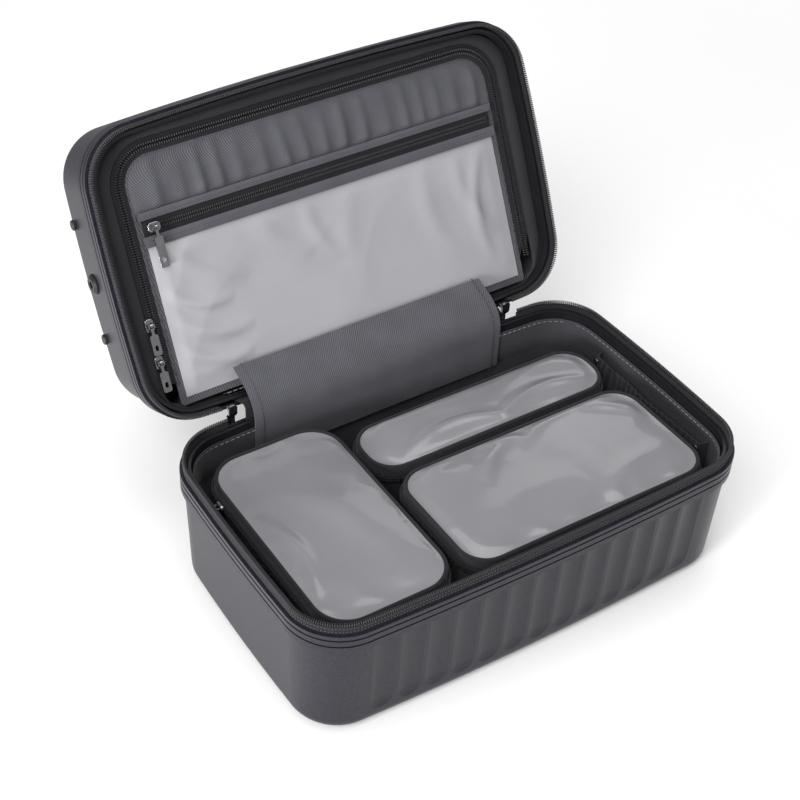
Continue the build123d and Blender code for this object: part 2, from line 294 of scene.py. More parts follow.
def mouldedPlastic(name, colour, rough, grain, strength, speckle=28, spread=0.07, specular=0.4):
    # moulded skin: fine pebble grain and a faint cloudiness
    mat, nodes, links, shader = newMaterial(name, colour, rough, specular=specular)
    coord = nodes.new("ShaderNodeTexCoord").outputs["Object"]
    mottle(nodes, links, shader, colour, coord, speckle, spread)
    tex = nodes.new("ShaderNodeTexNoise")
    tex.inputs["Scale"].default_value = grain
    tex.inputs["Detail"].default_value = 2
    links.new(coord, tex.inputs["Vector"])
    bumpFrom(nodes, links, shader, tex.outputs["Fac"], strength, 0.0003)
    return mat


def wovenCloth(name, colour, pitch, coordName="UV"):
    # diagonal twill lines crossed by the threads, tilted in depth on pieces that have no UV map
    tilt = (0.4, 0.3) if coordName == "Object" else (0, 0)
    mat, nodes, links, shader = newMaterial(name, colour, 0.82, specular=0.2)
    shader.inputs["Sheen Weight"].default_value = 0.08
    shader.inputs["Sheen Roughness"].default_value = 0.5
    coord = nodes.new("ShaderNodeTexCoord").outputs[coordName]
    ramp = mottle(nodes, links, shader, colour, coord, 45, 0.10)
    waves = []
    for turn in (radians(38), radians(-52)):
        mapping = nodes.new("ShaderNodeMapping")
        mapping.inputs["Rotation"].default_value = (*tilt, turn)
        wave = nodes.new("ShaderNodeTexWave")
        wave.inputs["Scale"].default_value = 0.314 / pitch
        wave.inputs["Distortion"].default_value = 0.6
        wave.inputs["Detail"].default_value = 1
        links.new(coord, mapping.inputs["Vector"])
        links.new(mapping.outputs["Vector"], wave.inputs["Vector"])
        waves.append(wave)
    mix = nodes.new("ShaderNodeMath")
    mix.operation = "MULTIPLY_ADD"
    mix.inputs[1].default_value = 0.35
    links.new(waves[1].outputs["Fac"], mix.inputs[0])
    links.new(waves[0].outputs["Fac"], mix.inputs[2])
    shade = nodes.new("ShaderNodeMix")
    shade.data_type = "RGBA"
    shade.blend_type = "MULTIPLY"
    shade.inputs["Factor"].default_value = 0.5
    links.new(ramp.outputs["Color"], shade.inputs["A"])
    links.new(waves[0].outputs["Color"], shade.inputs["B"])
    links.new(shade.outputs["Result"], shader.inputs["Base Color"])
    bumpFrom(nodes, links, shader, mix.outputs[0], 0.5, 0.0003)
    return mat


def clearVinyl(name, colour):
    # glossy film over what it holds, with soft cloudy patches
    mat, nodes, links, shader = newMaterial(name, colour, 0.33)
    shader.inputs["Coat Weight"].default_value = 0.6
    shader.inputs["Coat Roughness"].default_value = 0.09
    coord = nodes.new("ShaderNodeTexCoord").outputs["Object"]
    mottle(nodes, links, shader, colour, coord, 11, 0.08)
    tex = nodes.new("ShaderNodeTexNoise")
    tex.inputs["Scale"].default_value = 18
    tex.inputs["Detail"].default_value = 1
    tex.inputs["Distortion"].default_value = 0.4
    links.new(coord, tex.inputs["Vector"])
    bumpFrom(nodes, links, shader, tex.outputs["Fac"], 0.15, 0.003)
    return mat


def polishedMetal(name, colour, rough):
    mat, nodes, links, shader = newMaterial(name, colour, rough, 1.0)
    coord = nodes.new("ShaderNodeTexCoord").outputs["Object"]
    mottle(nodes, links, shader, colour, coord, 160, 0.12)
    tex = nodes.new("ShaderNodeTexNoise")
    tex.inputs["Scale"].default_value = 900
    links.new(coord, tex.inputs["Vector"])
    bumpFrom(nodes, links, shader, tex.outputs["Fac"], 0.1, 0.0001)
    return mat


twillGrey, tapeBlack = (0.106, 0.107, 0.122), (0.018, 0.018, 0.021)
greyAbs = mouldedPlastic("greyAbs", (0.014, 0.014, 0.021), rough=0.36, grain=1300, strength=0.30,
                         speckle=520, spread=0.35, specular=0.30)
glossBinding = mouldedPlastic("glossBinding", (0.012, 0.012, 0.015), rough=0.3, grain=500, strength=0.25)
blackPlastic = mouldedPlastic("blackPlastic", (0.014, 0.014, 0.017), rough=0.42, grain=1200, strength=0.2)
coilPlastic = mouldedPlastic("coilPlastic", (0.02, 0.02, 0.024), rough=0.38, grain=900, strength=0.15)
thread = mouldedPlastic("thread", (0.20, 0.20, 0.215), rough=0.7, grain=2500, strength=0.3)
darkThread = mouldedPlastic("darkThread", (0.05, 0.05, 0.056), rough=0.7, grain=2500, strength=0.3)
greyTwill = wovenCloth("greyTwill", twillGrey, pitch=0.0014)
greyTwillSolid = wovenCloth("greyTwillSolid", twillGrey, pitch=0.0014, coordName="Object")
darkTwill = wovenCloth("darkTwill", (0.034, 0.034, 0.040), pitch=0.0012)
liningTwill = wovenCloth("liningTwill", (0.058, 0.058, 0.066), pitch=0.0012)
blackTape = wovenCloth("blackTape", tapeBlack, pitch=0.0010)
blackTapeSolid = wovenCloth("blackTapeSolid", tapeBlack, pitch=0.0010, coordName="Object")
vinyl = clearVinyl("vinyl", (0.335, 0.328, 0.350))
vinylPouch = clearVinyl("vinylPouch", (0.180, 0.177, 0.192))
gunmetal = polishedMetal("gunmetal", (0.33, 0.33, 0.345), rough=0.26)
nickel = polishedMetal("nickel", (0.75, 0.75, 0.77), rough=0.2)

nodeFinish = {
    "base_shell": greyAbs, "lid_shell": greyAbs,
    "base_zip_tape": blackTapeSolid, "lid_zip_tape": blackTapeSolid,
    "base_rim_strip": glossBinding, "lid_rim_strip": glossBinding,
    "strap_sockets": blackPlastic, "bumper_studs": blackPlastic,
    "handle_brackets": blackPlastic, "carry_handle": blackPlastic,
    "divider_hinge_binding": glossBinding, "divider_panel": greyTwillSolid,
    "pocket_rivets": nickel,
}
for name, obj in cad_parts.items():
    mat = nodeFinish.get(name)
    if mat is None and (name.endswith("_slider") or name.endswith("_pull")):
        mat = gunmetal
    if mat is not None:
        obj.data.materials.clear()
        obj.data.materials.append(mat)
print("materials on the hard parts")


# ---------- main zip ----------

bevels = {"coil": 0.0003, "tapeStitch": 0.0002, "stitch": 0.0001}
mainZip = {
    "inset": 0.0030, "pitch": 0.0014, "tooth": (0.0009, 0.0024, 0.0021), "depth": 0.0017,
    "stitch": (0.0013, 0.0007, 0.0006), "stitchInset": 0.0023, "stitchPitch": 0.0022,
    "stitchDepths": (0.0046, 0.0072),
}


def rimPlaces(place, inset, depth, pitch, outward, skip=True):
    # places for blocks round a rim, standing up or out; skip leaves the hinge side free
    loop = caseOutline(inset, pitch)
    spots = alongPath(loop, closed=True)
    result = []
    for p, direction in spots:
        if skip and p.y > 0 and abs(p.x) < case["zipEndX"]:
            continue
        centre = place(p.x, p.y, depth)
        ahead = place(p.x + direction.x, p.y + direction.y, depth) - centre
        if outward == "up":
            out = place(p.x, p.y, depth - 1) - centre
        else:
            out = place(p.x + direction.y, p.y - direction.x, depth) - centre
        result.append((centre, ahead, out))
    return result


def buildMainZip(place, body):
    spots = rimPlaces(place, mainZip["inset"], mainZip["depth"], mainZip["pitch"], "up")
    teeth = repeatBlock(body + "_zip_coil", spots, mainZip["tooth"], bevels["coil"], coilPlastic)
    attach(teeth, body)
    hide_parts(body + "_zip_teeth")
    for i, depth in enumerate(mainZip["stitchDepths"]):
        spots = rimPlaces(place, mainZip["stitchInset"], depth, mainZip["stitchPitch"], "side")
        row = repeatBlock(f"{body}_tape_stitch_{i}", spots, mainZip["stitch"], bevels["tapeStitch"], darkThread)
        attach(row, body)


buildMainZip(basePlace, "base")
buildMainZip(lidPlace, "lid")
print("main zip")


# ---------- lining ----------

lining = {
    # (depth, inset) of the cloth where it hangs over the rim strip
    "baseCollar": [(0.0125, 0.0080), (0.0155, 0.0081), (0.0200, 0.0080),
                   (0.0260, 0.0080), (0.0320, 0.0079), (0.0355, 0.0074)],
    "inset": 0.0056, "round": 0.007, "points": 240, "thickness": 0.0004,
    "baseTop": 0.0400, "baseFloor": 0.0965, "lidTop": 0.0155, "lidFloor": 0.0635,
    "crease": 0.0016, "creaseLeast": 0.0003, "slackBelow": 0.012,
}
rimStitches = {
    "base": {"inset": 0.0087, "depth": 0.0148, "pitch": 0.0042, "size": (0.0026, 0.0005, 0.0005)},
    "lid": {"inset": 0.0076, "depth": 0.0108, "pitch": 0.0046, "size": (0.0028, 0.0005, 0.0005)},
}


def buildLining(place, body, collar, top, floor):
    count = lining["points"]
    levels = list(collar)
    for i in range(17):
        level = top + (floor - lining["round"] - top) * i / 16
        drafted = lining["inset"] + case["draft"] * (level - case["flangeBottom"])
        levels.append((level, max(lining["inset"], drafted)))
    rows = []
    for level, inset in levels:
        loose = max(0.15, min(1.0, (level - levels[0][0]) / lining["slackBelow"]))
        row = []
        for k, (x, y) in enumerate(byAngle(caseOutline(inset), count)):
            rumple = abs(noise.noise(Vector((x * 26, y * 26, level * 16))))
            crease = lining["creaseLeast"] + lining["crease"] * loose * rumple
            corner = max(0.0, min(1.0, (abs(x) - 0.120) / 0.03)) * max(0.0, min(1.0, (abs(y) - 0.05) / 0.03))
            crease += corner * loose * lining["crease"] * abs(sin(k * 0.9 + level * 60))
            size = hypot(x, y)
            row.append(place(x * (1 - crease / size), y * (1 - crease / size), level))
        rows.append(row)
    inset = lining["inset"] + case["draft"] * (floor - case["flangeBottom"])
    for i in range(1, 5):
        a = pi / 2 * i / 4
        extra = lining["round"] * (1 - cos(a))
        rows.append([place(x, y, floor - lining["round"] + lining["round"] * sin(a))
                     for x, y in byAngle(caseOutline(inset + extra), count)])
    outer = byAngle(caseOutline(inset + lining["round"]), count)
    for f in (0.8, 0.55, 0.3, 0.1):
        rows.append([place(x * f, y * f, floor) for x, y in outer])
    piece = clothGrid(body + "_lining_cloth", rows, liningTwill, closed=True, thickness=lining["thickness"],
                      cap=place(0, 0, floor))
    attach(piece, body)
    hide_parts(body + "_lining")


buildLining(basePlace, "base", lining["baseCollar"], lining["baseTop"], lining["baseFloor"])
buildLining(lidPlace, "lid", [], lining["lidTop"], lining["lidFloor"])
for name, body, place in (("rim_stitch", "base", basePlace), ("lid_rim_stitch", "lid", lidPlace)):
    row = rimStitches[body]
    spots = rimPlaces(place, row["inset"], row["depth"], row["pitch"], "side", skip=False)
    stitch = repeatBlock(name, spots, row["size"], bevels["stitch"], thread)
    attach(stitch, body)
print("linings")


# ---------- divider in the lid ----------

divider = {
    "halfLength": 0.150, "front": -0.087, "back": 0.090, "corner": 0.030, "backCorner": 0.012, "level": 0.014,
    "row": 0.0046, "rowFrom": 0.0001, "gap": 0.0005, "runBack": 0.074, "step": 0.003,
    "coil": (0.00095, 0.0023, 0.0014), "coilPitch": 0.0017, "coilIn": 0.0011, "coilLift": 0.0010,
    "tapeWidth": 0.0115, "tapeThickness": 0.0005,
    "edgeStitchInset": 0.0112, "edgeStitchLift": 0.0007,
}
surround = {"inset": 0.0086, "points": 260, "hingeSide": 0.0890, "backLimit": 0.0915, "depth": 0.0142,
            "puff": 0.0012, "thickness": 0.0005, "flat": (0.75, 0.01)}
pocket = {
    "x": 0.134, "zipY": -0.031, "gatherX": 0.1392, "gatherY": (-0.0768, -0.0405), "gatherCorner": 0.020,
    "gatherCut": 0.30,
    "filmX": 0.1355, "filmY": (-0.0225, 0.0850), "tapeX": 0.136, "tapeY": (-0.0375, -0.0245),
    "hemX": 0.1375, "hemThickness": 0.0007,
    "hems": {"upper_hem": (-0.0415, -0.0365), "lower_hem": (-0.0255, -0.0185)},
    "stitch": (0.0023, 0.0005, 0.0004), "stitchPitch": 0.0034, "stitchLift": 0.0030,
    "coil": (0.0009, 0.0021, 0.0013), "coilPitch": 0.0016, "coilLift": 0.0021, "coilApart": 0.0012,
}
bindingStitch = {"x": 0.108, "behind": 0.0020, "lift": 0.0012, "pitch": 0.0046,
                 "size": (0.003, 0.0006, 0.0006)}
lidUp = lidPlace(0, 0, 0) - lidPlace(0, 0, 1)


def dividerLoop(inset):
    h = divider["halfLength"] - inset
    return roundRect(-h, h, divider["front"] + inset, divider["back"], divider["corner"] - inset,
                     divider["step"], radiusBack=max(0.002, divider["backCorner"] - inset))


def dividerRun(inset):
    # from the hinge end of the left side, across the front, to the hinge end of the right side
    loop = dividerLoop(inset)
    leftX, limit = inset - divider["halfLength"], divider["runBack"]
    start = min(range(len(loop)), key=lambda i: hypot(loop[i].x - leftX, loop[i].y - limit))
    ordered = loop[start:] + loop[:start]
    return [p for p in ordered if p.y < limit + 0.001]


def runPlaces(inset, pitch, lift):
    # places along the panel's edge, standing off its face
    run = alongPath(resample([tuple(p) for p in dividerRun(inset)], pitch, closed=False))
    return [(lidPlace(p.x, p.y, divider["level"] - lift),
             lidPlace(p.x + d.x, p.y + d.y, 0) - lidPlace(p.x, p.y, 0), lidUp) for p, d in run]


def buildSurround():
    # a frame of cloth round three sides of the panel; the hinge side is open
    count, hingeSide = surround["points"], surround["hingeSide"]
    outer = byAngle(caseOutline(surround["inset"]), count)
    inner = byAngle(dividerLoop(-0.0003), count)
    first = next(i for i in range(count) if inner[i][1] < hingeSide <= inner[i - 1][1])
    order = [(first + i) % count for i in range(count)]
    order = [i for i in order if inner[i][1] < hingeSide]
    rows = []
    for j in range(9):
        f = j / 8
        row = []
        for i in order:
            x = outer[i][0] + (inner[i][0] - outer[i][0]) * f
            y = min(outer[i][1] + (inner[i][1] - outer[i][1]) * f, surround["backLimit"])
            puff = surround["puff"] * sin(pi * f) + 0.0005 * noise.noise(Vector((x * 40, y * 40, 3)))
            row.append(lidPlace(x, y, surround["depth"] - puff))
        rows.append(row)
    piece = clothGrid("lid_surround_cloth", rows, darkTwill, thickness=surround["thickness"])
    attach(piece, "lid")
    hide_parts("lid_surround")


def buildZipRow(name, body, node, outer, inner, coilAt):
    step, width = divider["step"], divider["tapeWidth"]
    a, b = dividerRun(outer), dividerRun(inner)
    n = min(len(a), len(b))
    a = resample([tuple(p) for p in a], step, closed=False)[:n]
    b = resample([tuple(p) for p in b], step * len(b) / max(1, n), closed=False)
    n = min(len(a), len(b))
    rows = []
    for f in (0, 0.25, 0.5, 0.75, 1):
        depth = divider["level"] - 0.0006 * sin(pi * f)
        rows.append([lidPlace(p.x + (q.x - p.x) * f, p.y + (q.y - p.y) * f, depth)
                     for p, q in zip(a[:n], b[:n])])
    tape = clothGrid(name + "_tape", rows, blackTape, thickness=divider["tapeThickness"])
    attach(tape, body)
    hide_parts(node)
    spots = runPlaces(coilAt, divider["coilPitch"], divider["coilLift"])
    coil = repeatBlock(name + "_coil", spots, divider["coil"], bevels["coil"], coilPlastic)
    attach(coil, body)


buildSurround()
innerFrom = divider["row"] + divider["gap"]
buildZipRow("divider_outer_zip", "lid", "divider_zip_lid_row", divider["rowFrom"], divider["row"],
            divider["row"] - divider["coilIn"])
buildZipRow("divider_inner_zip", "divider", "divider_zip_row", innerFrom, innerFrom + divider["row"],
            innerFrom + divider["coilIn"])


def dividerSheet(name, x0, x1, y0, y1, nx, ny, height, material, thickness=0.0004, corner=0.0):
    rows = []
    for j in range(ny + 1):
        row = []
        for i in range(nx + 1):
            x, y = x0 + (x1 - x0) * i / nx, y0 + (y1 - y0) * j / ny
            if corner and y < y0 + corner:
                k = corner - sqrt(max(0.0, corner ** 2 - (corner - (y - y0)) ** 2))
                x = (x0 + k) + (x1 - x0 - 2 * k) * i / nx
            row.append(lidPlace(x, y, divider["level"] - 0.0003 - height(i / nx, j / ny, x, y)))
        rows.append(row)
    piece = clothGrid(name, rows, material, thickness=thickness)
    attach(piece, "divider")
    return piece


def edgeFade(u, v, wide=0.04):
    return min(1.0, min(u, 1 - u) / wide) * min(1.0, min(v, 1 - v) / 0.12)


def gatherHeight(u, v, x, y):
    fold = 0.5 + 0.5 * sin(x * 400 + 3.2 * noise.noise(Vector((x * 24, y * 12, 0))))
    depth = 0.45 + 0.9 * abs(noise.noise(Vector((x * 19, 5, 0))) * 1.6)
    lower = 0.2 + 0.8 * v ** 1.2
    return edgeFade(u, v) * (0.0010 + 0.0014 * sin(pi * v) + 0.0031 * fold ** 1.5 * depth * lower)


def foldHeight(x, y, folds):
    # soft ridges along short lines: (x0, y0, x1, y1, half width, height)
    total = 0.0
    for x0, y0, x1, y1, wide, high in folds:
        ex, ey = x1 - x0, y1 - y0
        t = ((x - x0) * ex + (y - y0) * ey) / (ex * ex + ey * ey)
        bend = 0.12 * sin(pi * max(0.0, min(1.0, t)))
        off = ((x - x0) * -ey + (y - y0) * ex) / hypot(ex, ey) - bend * hypot(ex, ey)
        fade = max(0.0, 1 - (2 * t - 1) ** 2)
        total += high * fade * 2.718 ** (-(off / wide) ** 2)
    return total


filmFolds = [(-0.134, 0.012, -0.085, 0.030, 0.004, 0.0022), (-0.134, 0.030, -0.075, 0.052, 0.005, 0.0026),
             (-0.134, 0.050, -0.080, 0.070, 0.004, 0.0020), (-0.128, -0.020, -0.070, 0.020, 0.006, 0.0016),
             (-0.060, -0.022, -0.020, 0.020, 0.008, 0.0014), (-0.020, -0.022, 0.000, 0.030, 0.006, 0.0015),
             (0.020, -0.020, 0.010, 0.045, 0.009, 0.0012), (0.075, -0.022, 0.092, 0.060, 0.008, 0.0016),
             (0.100, -0.015, 0.126, 0.050, 0.006, 0.0018), (0.124, -0.018, 0.118, 0.070, 0.005, 0.0022)]


def vinylHeight(u, v, x, y):
    crease = abs(noise.noise(Vector((x * 17 + y * 9, y * 14, 2))))
    drag = 0.5 + 0.5 * sin(x * 70 + y * 160 * (1 - v) + 3 * noise.noise(Vector((x * 12, y * 12, 8))))
    side = (1 - min(1, u / 0.25)) * 0.7 + 0.3
    soft = 0.0024 * (1 - crease) ** 2 * side + 0.0010 * drag * side * (1 - 0.6 * v)
    return edgeFade(u, v, 0.03) * (0.0003 + soft + foldHeight(x, y, filmFolds))


def hemHeight(u, v, x, y):
    return 0.0019 + 0.0006 * sin(pi * v)


def tapeHeight(u, v, x, y):
    return 0.0006 + 0.0004 * sin(pi * v)


def straightRow(name, body, halfLength, y, lift, pitch, size, material):
    count = int(2 * halfLength / pitch)
    spots = [(lidPlace((i + 0.5) * pitch - halfLength, y, divider["level"] - lift), Vector((1, 0, 0)), lidUp)
             for i in range(count)]
    row = repeatBlock(name, spots, size, min(size) * 0.25, material)
    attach(row, body)


for name, (y0, y1) in pocket["hems"].items():
    dividerSheet(name, -pocket["hemX"], pocket["hemX"], y0, y1, 90, 4, hemHeight, greyTwill,
                              pocket["hemThickness"])
    straightRow(name + "_stitch", "divider", pocket["x"], (y0 + y1) / 2, pocket["stitchLift"],
                pocket["stitchPitch"], pocket["stitch"], darkThread)

wide, cut = pocket["gatherX"], pocket["gatherCut"]
gathers = dividerSheet("gathered_cloth", -wide, wide, *pocket["gatherY"], 260, 26, gatherHeight, greyTwill,
                       corner=pocket["gatherCorner"])
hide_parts("gathered_pocket")

wide = pocket["filmX"]
film = dividerSheet("vinyl_film", -wide, wide, *pocket["filmY"], 180, 90, vinylHeight, vinyl)
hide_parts("clear_pocket")

wide, (y0, y1) = pocket["tapeX"], pocket["tapeY"]
tapeCloth = dividerSheet("pocket_zip_tape", -wide, wide, y0, y1, 90, 6, tapeHeight, blackTape)
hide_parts("pocket_zip")
for i, side in enumerate((-1, 1)):
    straightRow(f"pocket_zip_coil_{i}", "divider", pocket["x"], pocket["zipY"] + side * pocket["coilApart"],
                pocket["coilLift"], pocket["coilPitch"], pocket["coil"], coilPlastic)

straightRow("binding_stitch", "lid", bindingStitch["x"], divider["back"] + bindingStitch["behind"],
            bindingStitch["lift"], bindingStitch["pitch"], bindingStitch["size"], thread)
edgeStitch = repeatBlock("divider_edge_stitch",
                         runPlaces(divider["edgeStitchInset"], pocket["stitchPitch"], divider["edgeStitchLift"]),
                         pocket["stitch"], bevels["stitch"], darkThread)
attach(edgeStitch, "divider")
print("divider")


# ---------- hinge cloth ----------

flap = {
    "halfWidth": 0.100, "thickness": 0.0012,
    "path": ((0.0920, 0.062), (0.0922, 0.084), (0.0938, 0.1005), (0.1030, 0.1125), (0.1220, 0.1202)),
    "bend": {"start": (0, 0.0938, 0.098), "end": (0, 0.108, 0.115)},
    "hem": 0.006, "stitchPitch": 0.0034, "stitch": (0.0024, 0.0006, 0.0005), "stitchLift": 0.0010,
}
strip = {
    "halfWidth": 0.104, "thickness": 0.0008, "drop": 0.0155, "wallY": 0.09815,
    "bend": {"start": (0, 0.098, 0.1015), "end": (0, 0.1035, 0.1055)},
}


def curveThrough(points, steps):
    # Catmull-Rom through the points
    pts = [Vector((0, *p)) for p in points]
    pts = [pts[0] * 2 - pts[1]] + pts + [pts[-1] * 2 - pts[-2]]
    out = []
    for k in range(1, len(pts) - 2):
        for i in range(steps):
            t = i / steps
            a, b, c, d = pts[k - 1:k + 3]
            curved = (2 * a - 5 * b + 4 * c - d) * t * t + (3 * b - a - 3 * c + d) * t ** 3
            out.append(0.5 * ((2 * b) + (c - a) * t + curved))
    out.append(pts[-2])
    return out


def buildFlap():
    half = flap["halfWidth"]
    line = curveThrough(flap["path"], 10)
    rows = []
    for j, p in enumerate(line):
        f = j / (len(line) - 1)
        row = []
        for i in range(81):
            x = -half + 2 * half * i / 80
            sag = 0.0008 * noise.noise(Vector((x * 14, f * 3, 1))) + 0.0010 * sin(pi * f) * cos(x * 15)
            row.append(Vector((x, p.y - sag * 0.6 * (1 - f * 0.5), p.z + sag * f)))
        rows.append(row)
    piece = clothGrid("hinge_flap_cloth", rows, greyTwill, thickness=flap["thickness"])
    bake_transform(piece)
    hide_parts("hinge_flap")
    spots = []
    for p, d in alongPath(resample([tuple(p) for p in line], flap["stitchPitch"], closed=False)):
        out = Vector((0, -d.z, d.y))
        for x in (-half + flap["hem"], half - flap["hem"]):
            spots.append((Vector((x, p.y, p.z)) + out * flap["stitchLift"], d, out))
    stitch = repeatBlock("flap_stitch", spots, flap["stitch"], bevels["stitch"], darkThread)
    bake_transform(stitch)


def buildHingeStrip():
    # up the base wall, round the hinge line and along the lid wall
    reach, drop, turn = case["hingeY"] - strip["wallY"], strip["drop"], case["openAngle"]
    line = [Vector((0, -reach, -drop * (1 - i / 5))) for i in range(5)] + [Vector((0, -reach, 0))]
    line += [Vector((0, -reach * cos(turn * i / 12), reach * sin(turn * i / 12))) for i in range(1, 13)]
    end = line[-1]
    line += [Vector((0, end.y + drop * i / 5 * sin(turn), end.z + drop * i / 5 * cos(turn)))
             for i in range(1, 6)]
    half = strip["halfWidth"]
    rows = [[Vector((-half + 2 * half * i / 60, p.y + case["hingeY"], p.z + case["seamZ"])) for i in range(61)]
            for p in line]
    piece = clothGrid("hinge_strip_cloth", rows, blackTape, thickness=strip["thickness"])
    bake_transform(piece)
    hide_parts("hinge_strip")


buildFlap()
buildHingeStrip()
print("hinge cloth")


# ---------- elastic pocket ----------

elastic = {
    "y": (-0.0650, 0.0470), "z": (0.030, 0.0818), "x": 0.1530, "wallX": 0.1585, "thickness": 0.0008,
    "hemFrom": 0.84, "hemOut": 0.0008, "ripple": 0.0004, "bulge": 0.0013, "cutWidth": 0.15, "sewnEnd": 0.02,
}


def buildElasticPocket():
    (y0, y1), (z0, z1), hem = elastic["y"], elastic["z"], elastic["hemFrom"]
    rows = []
    for j in range(41):
        v = j / 40
        z = z0 + (z1 - z0) * v
        row = []
        for i in range(261):
            u = i / 260
            y = y0 + (y1 - y0) * u
            tight = max(0.0, 1 - abs(v - hem) / 0.30)
            ripple = sin(y * 1150 + 4 * noise.noise(Vector((y * 70, z * 30, 0))))
            broad = noise.noise(Vector((y * 45, z * 16, 4)))
            x = elastic["x"] - 0.0016 * sin(pi * u) - 0.0012 * sin(pi * v)
            x += elastic["ripple"] * ripple * (0.3 + 0.7 * tight) + elastic["bulge"] * broad
            if v > hem:
                x -= elastic["hemOut"]
            k = min(u, 1 - u) / elastic["sewnEnd"]
            if k < 1:
                # the sides are sewn to the lining
                x = elastic["wallX"] + (x - elastic["wallX"]) * k
            row.append(Vector((x, y, z + (0.0002 * ripple if v > 0.97 else 0))))
        rows.append(row)
    piece = clothGrid("elastic_pocket_cloth", rows, darkTwill, thickness=elastic["thickness"])
    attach(piece, "base")
    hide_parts("elastic_pocket")


buildElasticPocket()
print("elastic pocket")


# ---------- pouches ----------

# folds are (x0, y0, x1, y1, half width, height)
pouches = {
    "left": {
        "box": (-0.150, -0.056, -0.088, 0.076), "top": 0.090, "radius": 0.024, "seed": 3,
        "folds": [(-0.066, 0.062, -0.064, -0.030, 0.004, 0.0018), (-0.145, 0.066, -0.080, 0.070, 0.004, 0.0012),
                  (-0.120, 0.040, -0.085, -0.060, 0.014, 0.0012), (-0.142, 0.020, -0.140, -0.060, 0.005, 0.0010)],
    },
    "back": {
        "box": (-0.050, 0.140, 0.013, 0.060), "top": 0.087, "radius": 0.020, "seed": 11,
        "folds": [(-0.030, 0.020, 0.060, 0.021, 0.004, 0.0016), (0.050, 0.022, 0.130, 0.024, 0.004, 0.0022),
                  (0.090, 0.052, 0.134, 0.036, 0.006, 0.0014), (-0.044, 0.050, 0.040, 0.045, 0.010, 0.0010)],
    },
    "right": {
        "box": (-0.048, 0.1405, -0.088, 0.006), "top": 0.090, "radius": 0.020, "seed": 23,
        "folds": [(-0.040, -0.006, 0.050, -0.004, 0.004, 0.0022), (0.000, -0.030, 0.050, 0.002, 0.007, 0.0022),
                  (0.040, -0.012, 0.130, -0.002, 0.005, 0.0020), (0.096, 0.000, 0.134, -0.030, 0.005, 0.0018),
                  (-0.030, -0.070, 0.060, -0.050, 0.012, 0.0010), (0.060, -0.080, 0.132, -0.060, 0.007, 0.0012)],
    },
}
pouchShape = {
    "floor": 0.006, "points": 220, "crown": 0.0022, "sidesTop": 0.020, "footRise": 0.005,
    "topInset": 0.0022, "topDrop": 0.0012, "topThickness": 0.0004, "topRings": 40,
    "pipingInset": 0.0016, "pipingDrop": 0.0014, "pipingSize": (0.0015, 0.0013),
    "zipHigh": 0.0068, "zipLow": 0.013, "tapeOut": 0.0006, "tapeThickness": 0.0005,
    "coil": (0.0009, 0.0020, 0.0012), "coilOut": 0.0016, "coilPitch": 0.0017, "coilApart": 0.0011,
}


def pouchRing(data, grow, count):
    l, r, f, b = data["box"]
    loop = roundRect(l - grow, r + grow, f - grow, b + grow, data["radius"] + grow)
    return byAngle(loop, count, ((l + r) / 2, (f + b) / 2))


def pouchTopHeight(data, px, py, s):
    # s is 1 at the edge and 0 at the middle
    edge = min(1.0, (1 - s) / 0.10)
    h = pouchShape["crown"] * (1 - s ** 6) * (0.4 + 0.6 * edge)
    big = noise.noise(Vector((px * 13 + data["seed"], py * 13, 0)))
    fine = abs(noise.noise(Vector((px * 34, py * 30 + data["seed"], 7))))
    return h + edge * (0.0015 * big - 0.0012 * fine * (0.15 + 1.8 * s ** 5) + foldHeight(px, py, data["folds"]))


def buildPouchSides(body, data, cx, cy):
    top, floorZ = data["top"], pouchShape["floor"]
    foot = floorZ + pouchShape["footRise"]
    levels = [(floorZ, -0.010), (floorZ + 0.0012, -0.005), (foot, -0.0012)]
    levels += [(foot + (top - pouchShape["sidesTop"] - foot) * i / 8, -0.0012 + 0.0016 * sin(pi * i / 8))
               for i in range(1, 9)]
    levels += [(top - 0.0135, 0.0), (top - 0.0068, 0.0), (top - 0.004, -0.0002), (top - 0.0018, -0.0008)]
    rows = []
    for z, grow in levels:
        row = []
        for x, y in pouchRing(data, grow, pouchShape["points"]):
            n = 0.0056 * noise.noise(Vector((x * 40, y * 40, z * 30 + data["seed"]))) if z < top - 0.014 else 0
            row.append(Vector((x + (x - cx) * n, y + (y - cy) * n, z)))
        rows.append(row)
    rows.reverse()
    sides = clothGrid(body + "_cloth", rows, darkTwill, closed=True, cap=Vector((cx, cy, floorZ)))
    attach(sides, body)
    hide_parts(body)
    return sides


